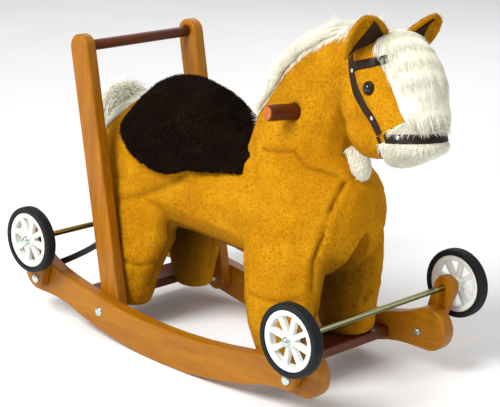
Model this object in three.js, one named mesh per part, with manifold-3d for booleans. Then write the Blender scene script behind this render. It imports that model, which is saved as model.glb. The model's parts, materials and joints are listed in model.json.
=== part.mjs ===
// A plush rocking horse on two rockers, with wheel carriages that flip down to make it a ride-on.
// Millimetres, +Z up, the horse faces +X, its right side is -Y. z = 0 is the floor under the rockers.
import * as THREE from "three";
import { mergeVertices } from "three/addons/utils/BufferGeometryUtils.js";
import Module from "manifold-3d";

const wasm = await Module();
wasm.setup();

// ---- driving dimensions ----
const GAP = 0.3; // clearance left between touching pieces
const CENTRE_X = -56.2; // puts the bounding box centre over the origin

const ROCKER_INNER_Y = 139.8;
const ROCKER_THICK = 27;
const ROCKER_RADIUS = 830; // running arc on the floor
const ROCKER_DEPTH = 64; // height of the board at its middle
const LOBE_X = 335; // centre of the round end of a rocker
const LOBE_Z = 82;
const LOBE_RADIUS = 38.5;
const FLAT_HALF = 18; // half length of the flat that a rocker rests on
const PIVOT_X = 317;
const PIVOT_Z = 74;

const ARM_THICK = 17.4;
const ARM_WIDTH = 41;
const ARM_FOOT_RADIUS = 17.5; // round end about the pivot
const ARM_LENGTH = 84; // pivot to axle
const FRONT_LEAN = 18.4; // degrees forward of upright, as parked
const REAR_LEAN = 9.5;
const AXLE_RADIUS = 5;
const WHEEL_RADIUS = 60;
const RIM_RADIUS = 49.5;
const RIM_HALF = 8.5;
const TYRE_HALF = 10.5;
const WHEEL_Y = 204.4;
const SPOKES = 8;

const POST_FOOT = [-159, 49.5]; // bolt through rocker and post
const POST_HEAD = [-248.5, 508]; // centre of the push bar
const POST_WIDTH = 45.5;
const POST_THICK = 23;
const BAR_RADIUS = 9.5;
const BAR_SOCKET = 12;

const RAIL_THICK = 17;
const FRONT_RAIL = { x: 212, z: 55, width: 80 };
const REAR_RAIL = { x: -230, z: 50.5, width: 60 };
const MORTISE = 9;

const BOARD = 18; // boards of the frame inside the plush
const LEG_POST = 24;
const FRONT_SOLE = 64;
const REAR_SOLE = 46;
const FRONT_LEG_Y = 76;
const REAR_LEG_Y = 76;

const HEAD_TURN = 12; // degrees, head and neck turned towards -Y
const HEAD_TILT = 3;
const NECK_ROOT = [192, 0, 360]; // the point that head and neck turn about
const HANDLE = { x: 200, z: 459, half: 109, radius: 13.5 };

// ---- colours ----
const GOLD = { color: 0xd9941f, roughness: 0.95, metalness: 0 };
const CREAM = { color: 0xf1ead6, roughness: 0.95, metalness: 0 };
const DARK_PLUSH = { color: 0x21150f, roughness: 0.95, metalness: 0 };
const LEATHER = { color: 0x2b1a14, roughness: 0.5, metalness: 0 };
const HONEY = { color: 0xb9700f, roughness: 0.35, metalness: 0 };
const CHERRY = { color: 0x6e2a16, roughness: 0.35, metalness: 0 };
const PINE = { color: 0xc8a878, roughness: 0.7, metalness: 0 };
const WHITE_PLASTIC = { color: 0xf3f3ee, roughness: 0.35, metalness: 0 };
const RUBBER = { color: 0x131514, roughness: 0.8, metalness: 0 };
const CHROME = { color: 0xc9cfcd, roughness: 0.15, metalness: 1 };
const YELLOW_ZINC = { color: 0xa9a155, roughness: 0.25, metalness: 1 };
const BLACK_STEEL = { color: 0x101010, roughness: 0.45, metalness: 0.6 };
const EYE = { color: 0x120a06, roughness: 0.08, metalness: 0 };

// ---- helpers ----
const group = new THREE.Group();
group.position.x = CENTRE_X;
const head = new THREE.Group(); // turned about the neck's root, drawn facing straight ahead
head.rotation.order = "ZYX";
head.rotation.z = -THREE.MathUtils.degToRad(HEAD_TURN);
head.rotation.x = -THREE.MathUtils.degToRad(HEAD_TILT);
const headInner = new THREE.Group();
headInner.position.set(...NECK_ROOT.map((v) => -v));
head.position.set(...NECK_ROOT);
head.add(headInner);
group.add(head);
group.updateMatrixWorld(true);
const headMatrix = new THREE.Matrix4().multiplyMatrices(head.matrix, headInner.matrix);

function add(name, geometry, look, parent = group) {
  const mesh = new THREE.Mesh(geometry, new THREE.MeshStandardMaterial(look));
  mesh.name = name;
  parent.add(mesh);
  return mesh;
}

function solid(geometry) {
  const bare = geometry.clone();
  bare.deleteAttribute("normal");
  bare.deleteAttribute("uv");
  const merged = mergeVertices(bare, 1e-3);
  const { Manifold, Mesh } = wasm;
  return new Manifold(
    new Mesh({
      numProp: 3,
      vertProperties: new Float32Array(merged.getAttribute("position").array),
      triVerts: new Uint32Array(merged.index.array),
    }),
  );
}

function toGeometry(manifold) {
  const mesh = manifold.getMesh();
  const geometry = new THREE.BufferGeometry();
  geometry.setAttribute("position", new THREE.BufferAttribute(mesh.vertProperties, 3));
  geometry.setIndex(new THREE.BufferAttribute(mesh.triVerts, 1));
  geometry.computeVertexNormals();
  return geometry;
}

const join = (parts) => parts.reduce((all, part) => all.add(part));
const cut = (whole, parts) => parts.reduce((left, part) => left.subtract(part), whole);

function box(width, depth, height, x, y, z) {
  return new THREE.BoxGeometry(width, depth, height).translate(x, y, z);
}

// A cylinder along Y.
function rod(radius, length, x, y, z, sides = 20) {
  return new THREE.CylinderGeometry(radius, radius, length, sides).translate(x, y, z);
}

// An outline drawn in the X-Z plane, as a board from y0 to y1.
function board(points, y0, y1, holes = []) {
  const shape = new THREE.Shape(points.map(([x, z]) => new THREE.Vector2(x, -z)));
  for (const { x, z, radius } of holes) {
    shape.holes.push(new THREE.Path().absarc(x, -z, radius, 0, 2 * Math.PI, false));
  }
  const geometry = new THREE.ExtrudeGeometry(shape, {
    depth: y1 - y0,
    bevelEnabled: false,
    curveSegments: 7,
  });
  return geometry.rotateX(-Math.PI / 2).translate(0, y0, 0);
}

// Points along an arc in the X-Z plane, angles in degrees from +X towards +Z.
function arc(x, z, radius, from, to, steps) {
  return Array.from({ length: steps + 1 }, (_, i) => {
    const angle = THREE.MathUtils.degToRad(from + ((to - from) * i) / steps);
    return [x + radius * Math.cos(angle), z + radius * Math.sin(angle)];
  });
}

// A closed body of oval section along a smooth path. A station is [x, y, z, half width, half depth]:
// the width lies across the path towards Y, and the depth at right angles to both.
function sweep(stations, { sides = 14, steps = 12, grow = 0 } = {}) {
  const path = new THREE.CatmullRomCurve3(stations.map(([x, y, z]) => new THREE.Vector3(x, y, z)));
  const size = new THREE.CatmullRomCurve3(
    stations.map((s) => new THREE.Vector3(s[3] + grow, s[4] + grow, 0)),
  );
  const geometry = new THREE.CylinderGeometry(1, 1, 1, sides, steps);
  const position = geometry.getAttribute("position");
  const last = path.getTangent(1);
  for (let i = 0; i < position.count; i++) {
    const t = THREE.MathUtils.clamp(position.getY(i) + 0.5, 0, 1);
    const tangent = path.getTangent(t);
    const centre = path.getPoint(t);
    if (t === 0) centre.addScaledVector(path.getTangent(0), -grow);
    if (t === 1) centre.addScaledVector(last, grow);
    const across = new THREE.Vector3(0, 1, 0).addScaledVector(tangent, -tangent.y).normalize();
    const deep = new THREE.Vector3().crossVectors(across, tangent);
    const radii = size.getPoint(t);
    centre.addScaledVector(across, position.getX(i) * radii.x);
    centre.addScaledVector(deep, position.getZ(i) * radii.y);
    position.setXYZ(i, centre.x, centre.y, centre.z);
  }
  return geometry;
}

function oval(x, y, z, rx, ry, rz, { grow = 0, wide = 14, high = 9 } = {}) {
  return new THREE.SphereGeometry(1, wide, high)
    .scale(rx + grow, ry + grow, rz + grow)
    .translate(x, y, z);
}

const inHead = (geometry) => geometry.clone().applyMatrix4(headMatrix);

// ---- rockers ----
// The board's outline: a long running arc below with a short flat, a round lobe at each end, and a
// shallow notch behind each lobe where an axle lodges in wheel mode.
function rockerOutline() {
  const half = THREE.MathUtils.radToDeg(Math.asin(224 / ROCKER_RADIUS));
  const flat = THREE.MathUtils.radToDeg(Math.asin(FLAT_HALF / ROCKER_RADIUS));
  const low = ROCKER_RADIUS * Math.cos(THREE.MathUtils.degToRad(flat));
  const front = [
    [FLAT_HALF, 0],
    ...arc(0, low, ROCKER_RADIUS, -90 + flat + 2.4, -90 + half, 6),
    [250, 38.5],
    [272, 42.5],
    [294, 44],
    ...arc(LOBE_X, LOBE_Z, LOBE_RADIUS, -80, 118, 11),
    [300, 107],
    [276, 98],
    [250, 91.5],
    [205, 82.5],
    [155, 75],
    [105, 69],
    [52, 65.3],
  ];
  const rear = front.map(([x, z]) => [-x, z]).reverse();
  return [...front, [0, ROCKER_DEPTH], ...rear];
}

function mortise(rail, side) {
  const y = side * (ROCKER_INNER_Y + MORTISE / 2);
  const fit = 2 * GAP;
  return solid(box(rail.width + fit, MORTISE + fit, RAIL_THICK + fit, rail.x, y, rail.z));
}

for (const [name, side] of [["right", -1], ["left", 1]]) {
  const inner = ROCKER_INNER_Y;
  const outer = ROCKER_INNER_Y + ROCKER_THICK;
  const holes = [
    { x: PIVOT_X, z: PIVOT_Z, radius: 4.3 },
    { x: -PIVOT_X, z: PIVOT_Z, radius: 4.3 },
    { x: POST_FOOT[0], z: POST_FOOT[1], radius: 4.3 },
  ];
  const plank = side < 0 ? board(rockerOutline(), -outer, -inner, holes)
    : board(rockerOutline(), inner, outer, holes);
  const shaped = cut(solid(plank), [mortise(FRONT_RAIL, side), mortise(REAR_RAIL, side)]);
  add("rocker_" + name, toGeometry(shaped), HONEY);
}

// ---- cross rails ----
const railLength = 2 * (ROCKER_INNER_Y + MORTISE - GAP);
for (const [name, rail] of [["front_rail", FRONT_RAIL], ["rear_rail", REAR_RAIL]]) {
  add(name, box(rail.width, railLength, RAIL_THICK, rail.x, 0, rail.z), CHERRY);
}

// ---- push posts and bar ----
const lean = THREE.MathUtils.radToDeg(
  Math.atan2(POST_HEAD[1] - POST_FOOT[1], POST_HEAD[0] - POST_FOOT[0]),
);
const postInner = ROCKER_INNER_Y - GAP - POST_THICK;
const postOuter = ROCKER_INNER_Y - GAP;
const postOutline = [
  ...arc(...POST_FOOT, POST_WIDTH / 2, lean + 90, lean + 270, 9),
  ...arc(...POST_HEAD, POST_WIDTH / 2, lean - 90, lean + 90, 9),
];
for (const [name, side] of [["right", -1], ["left", 1]]) {
  const bolt = { x: POST_FOOT[0], z: POST_FOOT[1], radius: 4.3 };
  const plank = side < 0 ? board(postOutline, -postOuter, -postInner, [bolt])
    : board(postOutline, postInner, postOuter, [bolt]);
  const depth = BAR_SOCKET + 1;
  const y = side * (postInner + BAR_SOCKET - depth / 2);
  const socket = rod(BAR_RADIUS + GAP, depth, POST_HEAD[0], y, POST_HEAD[1]);
  add("push_post_" + name, toGeometry(cut(solid(plank), [solid(socket)])), HONEY);
}
const barLength = 2 * (postInner + BAR_SOCKET - GAP);
add("push_bar", rod(BAR_RADIUS, barLength, POST_HEAD[0], 0, POST_HEAD[1]), CHERRY);

// ---- steel braces from the rockers' rear ends to the posts ----
for (const [name, side] of [["right", -1], ["left", 1]]) {
  const onRocker = side * (ROCKER_INNER_Y - GAP - 2);
  const onPost = side * (postInner - GAP - 2);
  const brace = sweep(
    [
      [-344, onRocker, 82, 1.9, 7],
      [-328, onRocker, 89, 1.9, 7],
      [-306, side * 135, 98, 3, 6],
      [-258, side * 124, 125.5, 4.5, 5.5],
      [-222, side * 116, 149, 4, 6],
      [-207, onPost, 159, 1.9, 9],
      [-190, onPost, 170, 1.9, 8],
    ],
    { sides: 8, steps: 12 },
  );
  add("post_brace_" + name, brace, BLACK_STEEL);
}

// ---- carriage bolts: a domed head outside, a nut inside ----
// Drawn along +Z from the nut's end to the dome, then turned outwards.
function carriageBolt(length, x, y, z, side) {
  const headRadius = 8.3;
  const headHeight = 4.2;
  const nutRadius = 6.6;
  const nutHeight = 4;
  const shank = 4;
  const dome = Array.from({ length: 4 }, (_, i) => {
    const angle = (i / 3) * (Math.PI / 2);
    return new THREE.Vector2(
      headRadius * Math.cos(angle),
      length + GAP + headHeight * Math.sin(angle),
    );
  });
  dome[3].x = 0;
  const profile = [
    new THREE.Vector2(0, -nutHeight - GAP - 1),
    new THREE.Vector2(shank, -nutHeight - GAP - 1),
    new THREE.Vector2(shank, -nutHeight - GAP),
    new THREE.Vector2(nutRadius, -nutHeight - GAP),
    new THREE.Vector2(nutRadius, -GAP),
    new THREE.Vector2(shank, -GAP),
    new THREE.Vector2(shank, length + GAP),
    ...dome,
  ];
  const geometry = new THREE.LatheGeometry(profile, 10);
  if (side < 0) geometry.rotateX(Math.PI);
  return geometry.translate(x, y, z);
}

const armInner = ROCKER_INNER_Y + ROCKER_THICK + GAP * 2;
const armOuter = armInner + ARM_THICK;
const pivotLength = armOuter - ROCKER_INNER_Y;
const postLength = ROCKER_INNER_Y + ROCKER_THICK - postInner;
for (const [name, side] of [["right", -1], ["left", 1]]) {
  const boltY = side * ROCKER_INNER_Y;
  const front = carriageBolt(pivotLength, PIVOT_X, boltY, PIVOT_Z, side);
  const rear = carriageBolt(pivotLength, -PIVOT_X, boltY, PIVOT_Z, side);
  const foot = carriageBolt(postLength, POST_FOOT[0], side * postInner, POST_FOOT[1], side);
  add("pivot_bolt_front_" + name, front, CHROME);
  add("pivot_bolt_rear_" + name, rear, CHROME);
  add("post_bolt_" + name, foot, CHROME);
}

// ---- wheel carriages: two arms, an axle, two wheels with tyres and caps ----
function ring(profile, sides, x, y, z) {
  const points = profile.map(([r, h]) => new THREE.Vector2(r, h));
  points.push(points[0].clone());
  return new THREE.LatheGeometry(points, sides).translate(x, y, z);
}

function tyre(x, y, z) {
  const tread = WHEEL_RADIUS;
  const seat = RIM_RADIUS - 5.5;
  return ring(
    [
      [seat, -RIM_HALF + 3],
      [RIM_RADIUS + 0.6, -RIM_HALF + 3],
      [RIM_RADIUS + 0.6, -TYRE_HALF],
      [tread - 2, -TYRE_HALF],
      [tread, -TYRE_HALF + 4],
      [tread, TYRE_HALF - 4],
      [tread - 2, TYRE_HALF],
      [RIM_RADIUS + 0.6, TYRE_HALF],
      [RIM_RADIUS + 0.6, RIM_HALF - 3],
      [seat, RIM_HALF - 3],
    ],
    24,
    x,
    y,
    z,
  );
}

// The rim is a channel with a flange each side, on eight spokes and a hub.
function wheel(x, y, z) {
  const seat = RIM_RADIUS - 6;
  const channel = ring(
    [
      [40, -RIM_HALF],
      [RIM_RADIUS, -RIM_HALF],
      [RIM_RADIUS, -RIM_HALF + 2.6],
      [seat, -RIM_HALF + 2.6],
      [seat, RIM_HALF - 2.6],
      [RIM_RADIUS, RIM_HALF - 2.6],
      [RIM_RADIUS, RIM_HALF],
      [40, RIM_HALF],
    ],
    24,
    0,
    0,
    0,
  );
  const hub = rod(12, 2 * RIM_HALF + 3, 0, 0, 0, 12);
  const spokes = Array.from({ length: SPOKES }, (_, i) => {
    const spoke = new THREE.BoxGeometry(33, 9, 8.5).translate(26.5, 0, 0);
    return solid(spoke.rotateY((i * 2 * Math.PI) / SPOKES + 0.2));
  });
  const bore = rod(AXLE_RADIUS + GAP, 60, 0, 0, 0, 14);
  const joined = join([solid(channel), solid(hub), ...spokes]);
  return toGeometry(cut(joined, [solid(bore)])).translate(x, y, z);
}

// A domed cap pressed over the axle's end.
function axleCap(x, y, z, side) {
  const radius = 8.4;
  const dome = Array.from({ length: 4 }, (_, i) => {
    const angle = (i / 3) * (Math.PI / 2);
    return new THREE.Vector2(radius * Math.cos(angle), 4 + 5 * Math.sin(angle));
  });
  dome[3].x = 0;
  const profile = [
    new THREE.Vector2(0, 5),
    new THREE.Vector2(AXLE_RADIUS + GAP, 5),
    new THREE.Vector2(AXLE_RADIUS + GAP, 0),
    new THREE.Vector2(radius, 0),
    ...dome,
  ];
  const geometry = new THREE.LatheGeometry(profile, 14);
  if (side < 0) geometry.rotateX(Math.PI);
  return geometry.translate(x, y, z);
}

function carriage(end, pivotX, angle) {
  const radians = THREE.MathUtils.degToRad(angle);
  const axleX = pivotX + ARM_LENGTH * Math.cos(radians);
  const axleZ = PIVOT_Z + ARM_LENGTH * Math.sin(radians);
  const outline = [
    ...arc(pivotX, PIVOT_Z, ARM_FOOT_RADIUS, angle + 90, angle + 270, 9),
    ...arc(axleX, axleZ, ARM_WIDTH / 2, angle - 90, angle + 90, 9),
  ];
  const holes = [
    { x: pivotX, z: PIVOT_Z, radius: 4.3 },
    { x: axleX, z: axleZ, radius: AXLE_RADIUS + GAP },
  ];
  const capInner = WHEEL_Y + RIM_HALF + 1.5 + GAP;
  for (const [name, side] of [["right", -1], ["left", 1]]) {
    const tag = end + "_" + name;
    const arm = side < 0 ? board(outline, -armOuter, -armInner, holes)
      : board(outline, armInner, armOuter, holes);
    add("arm_" + tag, arm, HONEY);
    add("wheel_" + tag, wheel(axleX, side * WHEEL_Y, axleZ), WHITE_PLASTIC);
    add("tyre_" + tag, tyre(axleX, side * WHEEL_Y, axleZ), RUBBER);
    add("axle_cap_" + tag, axleCap(axleX, side * capInner, axleZ, side), CHROME);
  }
  add(end + "_axle", rod(AXLE_RADIUS, 2 * (capInner + 4.6), axleX, 0, axleZ), YELLOW_ZINC);
}
carriage("front", PIVOT_X, 90 - FRONT_LEAN);
carriage("rear", -PIVOT_X, 90 - REAR_LEAN);

// ---- wooden frame inside the plush ----
const bulkheadFrontX = 224.5;
const bulkheadRearX = -166;
const frontPostX = bulkheadFrontX - BOARD / 2 - GAP - LEG_POST / 2;
const rearPostX = bulkheadRearX - BOARD / 2 - GAP - LEG_POST / 2;
const spineFront = bulkheadFrontX - BOARD / 2 - GAP;
const spineRear = bulkheadRearX + BOARD / 2 + GAP;
const POST_TOP = 325;
const frame = {
  spine_board: [spineFront - spineRear, BOARD, 60, (spineFront + spineRear) / 2, 0, 300],
  front_bulkhead: [BOARD, 2 * (FRONT_LEG_Y + 12), 90, bulkheadFrontX, 0, 290],
  rear_bulkhead: [BOARD, 2 * (REAR_LEG_Y + 8), 90, bulkheadRearX, 0, 290],
};
for (const [name, side] of [["right", -1], ["left", 1]]) {
  const front = FRONT_SOLE + GAP;
  const rear = REAR_SOLE + GAP;
  const size = [LEG_POST, LEG_POST];
  frame["front_leg_post_" + name] = [
    ...size, POST_TOP - front, frontPostX, side * FRONT_LEG_Y, (POST_TOP + front) / 2,
  ];
  frame["rear_leg_post_" + name] = [
    ...size, POST_TOP - rear, rearPostX, side * (REAR_LEG_Y - 4), (POST_TOP + rear) / 2,
  ];
}
const pockets = [];
for (const [name, [w, d, h, x, y, z]] of Object.entries(frame)) {
  add(name, box(w, d, h, x, y, z), PINE);
  const open = name.includes("leg_post") ? 12 : 0;
  pockets.push(solid(box(w + 1, d + 1, h + 1 + open, x, y, z - open / 2)));
}
const neckBoardOutline = [
  [160, 338],
  [212, 338],
  [236, 400],
  [250, 470],
  [330, 532],
  [345, 560],
  [322, 580],
  [232, 530],
  [176, 470],
  [160, 400],
];
const handleHole = { x: HANDLE.x, z: HANDLE.z, radius: HANDLE.radius + 3 * GAP };
const neckBoard = board(neckBoardOutline, -BOARD / 2, BOARD / 2, [handleHole]);
// the pocket that holds it is the same outline, a little larger about its middle
const [pocketX, pocketZ] = [225, 475];
const pocketOutline = neckBoardOutline.map(([x, z]) => [
  pocketX + (x - pocketX) * 1.02,
  pocketZ + (z - pocketZ) * 1.02,
]);
const neckPocket = board(pocketOutline, -BOARD / 2 - 0.5, BOARD / 2 + 0.5);

// ---- the plush horse ----
const NECK = [
  [150, 0, 320, 84, 116],
  [160, 0, 390, 80, 112],
  [180, 0, 452, 63, 90],
  [208, 0, 506, 56, 78],
  [258, 0, 545, 52, 64],
  [308, 0, 566, 48, 52],
  [345, 0, 574, 22, 24],
];
const SKULL = [
  [318, 0, 604, 14, 14],
  [330, 0, 590, 44, 38],
  [352, 0, 565, 57, 54],
  [378, 0, 532, 59, 58],
  [404, 0, 496, 52, 52],
  [424, 0, 468, 46, 46],
  [438, 0, 448, 38, 36],
  [446, 0, 437, 12, 12],
];
const TORSO = [
  [-296, 0, 302, 22, 26],
  [-282, 0, 301, 62, 72],
  [-240, 0, 299, 92, 104],
  [-180, 0, 299, 101, 117],
  [-90, 0, 297, 98, 108],
  [0, 0, 284, 95, 95],
  [70, 0, 282, 97, 98],
  [150, 0, 290, 101, 116],
  [220, 0, 296, 100, 118],
  [275, 0, 300, 84, 94],
  [306, 0, 302, 52, 58],
  [316, 0, 302, 18, 20],
];
const frontLeg = (s) => [
  [198, s * 56, 300, 48, 82],
  [198, s * 66, 240, 48, 86],
  [198, s * 74, 185, 48, 79],
  [200, s * 79, 128, 47, 69],
  [205, s * (FRONT_LEG_Y + 4), 98, 46, 59],
  [208, s * (FRONT_LEG_Y + 4), 82, 46, 53],
  [208, s * (FRONT_LEG_Y + 4), 71, 45, 48],
  [208, s * (FRONT_LEG_Y + 4), FRONT_SOLE, 40, 41],
];
const rearLeg = (s) => [
  [-186, s * 46, 300, 48, 82],
  [-178, s * 54, 235, 51, 85],
  [-166, s * 59, 190, 50, 76],
  [-168, s * 67, 142, 45, 60],
  [-172, s * 73, 100, 40, 48],
  [-173, s * REAR_LEG_Y, 62, 37, 41],
  [-173, s * REAR_LEG_Y, REAR_SOLE, 30, 34],
];

const cheek = (grow) => oval(342, 0, 502, 60, 57, 60, { grow, wide: 14, high: 10 });
const jaw = (grow) => oval(350, 0, 464, 54, 49, 51, { grow, wide: 14, high: 10 });
// the arch between the front legs, deepest at the chest
const frontArch = oval(310, 0, 122, 104, 31, 154, { wide: 14, high: 12 });

function headSolid(grow) {
  return join([
    solid(inHead(sweep(SKULL, { grow, steps: 10, sides: 12 }))),
    solid(inHead(cheek(grow))),
    solid(inHead(jaw(grow))),
    solid(inHead(sweep(NECK, { grow, steps: 9, sides: 14 }))),
  ]);
}

function plushSolid(grow) {
  const legs = [-1, 1].flatMap((s) => [
    solid(sweep(frontLeg(s), { grow, steps: 8, sides: 12 })),
    solid(sweep(rearLeg(s), { grow, steps: 8, sides: 12 })),
  ]);
  return join([solid(sweep(TORSO, { grow, steps: 14, sides: 16 })), ...legs, headSolid(grow)]);
}

const handleRod = (grow) =>
  inHead(rod(HANDLE.radius + grow, 2 * (HANDLE.half + 2 * grow), HANDLE.x, 0, HANDLE.z));
const railPocket = box(
  REAR_RAIL.width + 1, 300, RAIL_THICK + 1, REAR_RAIL.x, 0, REAR_RAIL.z,
);
const plush = cut(plushSolid(0), [
  ...pockets,
  solid(inHead(neckPocket)),
  solid(handleRod(GAP)),
  solid(railPocket),
  solid(frontArch),
]);
add("plush_body", toGeometry(plush), GOLD);
add("neck_board", neckBoard, PINE, headInner);
const clear = plushSolid(GAP + 0.1);

// The grab handle through the neck, waisted a little towards its round ends.
const handleProfile = [
  [0, -HANDLE.half],
  [9, -HANDLE.half],
  [12, -HANDLE.half + 3],
  [HANDLE.radius, -HANDLE.half + 12],
  [HANDLE.radius, HANDLE.half - 12],
  [12, HANDLE.half - 3],
  [9, HANDLE.half],
  [0, HANDLE.half],
].map(([r, h]) => new THREE.Vector2(r, h));
const handle = new THREE.LatheGeometry(handleProfile, 18).translate(HANDLE.x, 0, HANDLE.z);
add("neck_handle", handle, CHERRY, headInner);

// ---- saddle ----
const SADDLE = [
  [-240, 0, 330, 22, 28],
  [-226, 0, 324, 84, 94],
  [-190, 0, 314, 110, 132],
  [-138, 0, 308, 119, 154],
  [-80, 0, 302, 119, 151],
  [-28, 0, 294, 116, 126],
  [24, 0, 287, 112, 106],
  [74, 0, 285, 108, 103],
  [114, 0, 288, 104, 102],
  [124, 0, 290, 80, 82],
];
const saddleEdge = [
  [-300, 390],
  [-215, 372],
  [-161, 352],
  [-143, 338],
  [-114, 326],
  [-82, 320],
  [-54, 318],
  [-30, 324],
  [-10, 334],
  [8, 333],
  [60, 340],
  [160, 350],
  [160, 100],
  [-300, 100],
];
const belowSaddle = solid(board(saddleEdge, -200, 200));
const saddle = cut(solid(sweep(SADDLE, { steps: 15, sides: 20 })), [belowSaddle, clear]);
add("saddle", toGeometry(biggest(saddle)), DARK_PLUSH);
const saddleClear = solid(sweep(SADDLE, { steps: 15, sides: 20, grow: GAP }));

function biggest(manifold) {
  return manifold.decompose().sort((a, b) => b.volume() - a.volume())[0];
}

// ---- white pile: mane, blaze, muzzle, tail, chest tuft ----
function trimmed(geometry, others = []) {
  return biggest(cut(solid(geometry), [clear, ...others]));
}

const MANE = [
  [56, 0, 372, 10, 8],
  [66, 0, 395, 22, 16],
  [83, 0, 438, 32, 22],
  [100, 0, 486, 40, 27],
  [137, 0, 527, 43, 28],
  [190, 0, 561, 42, 27],
  [248, 0, 585, 38, 24],
  [306, 0, 598, 29, 18],
  [326, 0, 602, 10, 8],
];
const maneShape = (grow) => solid(inHead(sweep(MANE, { sides: 12, steps: 14, grow })));
const maneClear = maneShape(GAP);
add("mane", toGeometry(biggest(cut(maneShape(0), [clear, saddleClear]))), CREAM);

const bandCore = headSolid(2.6);
const bandInside = headSolid(GAP + 0.1);
function slab(points, half) {
  // a strip of the given half width about a line in the head's X-Z plane
  const [a, b] = points;
  const angle = Math.atan2(b[1] - a[1], b[0] - a[0]);
  const length = Math.hypot(b[0] - a[0], b[1] - a[1]);
  return new THREE.BoxGeometry(length, 240, 2 * half)
    .rotateY(-angle)
    .translate((a[0] + b[0]) / 2, 0, (a[1] + b[1]) / 2);
}

// The muzzle is an oval whose underside slopes up from the chin to the nose.
function muzzleShape(grow) {
  const [x, z] = [440, 459];
  const shape = oval(x, 0, z, 50, 51, 47, { grow, wide: 16, high: 10 });
  const position = shape.getAttribute("position");
  for (let i = 0; i < position.count; i++) {
    const below = z - position.getZ(i);
    if (below <= 0) continue;
    const rise = 0.01 * Math.max(0, position.getX(i) - 425);
    const depth = below * (1 - rise);
    position.setX(i, position.getX(i) - 0.3 * depth);
    position.setZ(i, z - depth);
  }
  return shape;
}

// bridle: each strap hugs the head, cut from a thin skin around it
const strapCheek = [[296, 590], [404, 472]];
const strapBrow = [[334, 557], [430, 584]];
const cheekSlab = solid(inHead(slab(strapCheek, 7)));
const browSlab = solid(inHead(slab(strapBrow, 6.5)));
const skin = bandCore.subtract(bandInside);
const cheekStraps = skin.intersect(cheekSlab).subtract(maneClear);
for (const [name, side] of [["right", -1], ["left", 1]]) {
  const halfSpace = solid(inHead(box(400, 200, 400, 350, side * 100.5, 500)));
  add("bridle_cheek_strap_" + name, toGeometry(biggest(cheekStraps.intersect(halfSpace))), LEATHER);
}
const cheekSlabClear = solid(inHead(slab(strapCheek, 7.4)));
const browBand = biggest(skin.intersect(browSlab).subtract(cheekSlabClear));
add("bridle_brow_band", toGeometry(browBand), LEATHER);

const noseOuter = solid(inHead(muzzleShape(0))).add(bandCore);
const noseInner = solid(inHead(muzzleShape(-3))).add(bandInside);
const strapNose = [[412, 462], [520, 482]];
const noseSlab = solid(inHead(slab(strapNose, 7.5)));
const noseBand = biggest(noseOuter.subtract(noseInner).intersect(noseSlab).subtract(cheekSlabClear));
add("bridle_nose_band", toGeometry(noseBand), LEATHER);

const strapClear = headSolid(3).intersect(solid(inHead(slab(strapCheek, 7.6))));
const noseGroove = solid(inHead(slab(strapNose, 7.9))).subtract(solid(inHead(muzzleShape(-3.4))));
const muzzle = trimmed(inHead(muzzleShape(0)), [noseGroove]);
const muzzleClear = solid(inHead(muzzleShape(GAP)));
add("muzzle", toGeometry(muzzle), CREAM);

const BLAZE = [
  [352, 0, 606, 12, 10],
  [366, 0, 598, 38, 24],
  [404, 0, 580, 46, 32],
  [436, 0, 550, 46, 33],
  [452, 0, 522, 43, 28],
  [467, 0, 506, 40, 22],
  [480, 0, 500, 30, 14],
];
const blazeShape = (grow) => sweep(BLAZE, { sides: 14, steps: 10, grow });
const blaze = trimmed(inHead(blazeShape(0)), [
  muzzleClear,
  maneClear,
  headSolid(3).intersect(solid(inHead(slab(strapBrow, 7)))),
  strapClear,
]);
add("blaze", toGeometry(blaze), CREAM);

const TAIL = [
  [-262, 0, 396, 16, 14],
  [-290, 0, 392, 26, 22],
  [-312, 0, 362, 28, 24],
  [-320, 0, 320, 26, 22],
  [-322, 0, 280, 20, 18],
  [-318, 0, 250, 8, 7],
];
const tail = biggest(cut(solid(sweep(TAIL, { sides: 12, steps: 10 })), [clear, saddleClear]));
add("tail", toGeometry(tail), CREAM);

const TUFT = [
  [282, -6, 416, 18, 15],
  [291, -6, 400, 20, 18],
  [299, -7, 382, 19, 18],
  [305, -8, 366, 10, 10],
];
add("chest_tuft", toGeometry(trimmed(sweep(TUFT, { sides: 10, steps: 6 }), [
  noseOuter,
])), CREAM);

// ---- ears, ear linings, eyes ----
for (const [name, side] of [["right", -1], ["left", 1]]) {
  const EAR = [
    [355, side * 46, 588, 34, 9],
    [362, side * 49, 606, 34, 9],
    [370, side * 54, 624, 27, 8],
    [377, side * 58, 640, 16, 6],
    [381, side * 60, 650, 5, 3],
  ];
  const LINING = EAR.map(([x, y, z, w, d]) => [x + 6, y, z - 2, w * 0.62, d * 0.5]);
  const ear = solid(inHead(sweep(EAR, { sides: 10, steps: 7 })));
  const earClear = solid(inHead(sweep(EAR, { sides: 10, steps: 7, grow: GAP })));
  const blazeClear = solid(inHead(blazeShape(GAP)));
  const others = [clear, blazeClear, maneClear, strapClear];
  add("ear_" + name, toGeometry(biggest(cut(ear, others))), GOLD);
  const lining = solid(inHead(sweep(LINING, { sides: 10, steps: 6 })));
  add("ear_lining_" + name, toGeometry(biggest(cut(lining, [earClear, ...others]))), LEATHER);
  const eye = solid(inHead(oval(376, side * 56, 534, 9, 9, 9, { wide: 12, high: 8 })));
  add("eye_" + name, toGeometry(biggest(cut(eye, [clear]))), EYE);
}

export default group;
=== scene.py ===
"""Looks of the plush rocking horse: woodwork, wheel carriages, plush, long pile, saddle and bridle."""

import json
import math

import bmesh
import bpy
import numpy as np
from mathutils import Matrix, Vector, noise
from mathutils.bvhtree import BVHTree


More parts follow.
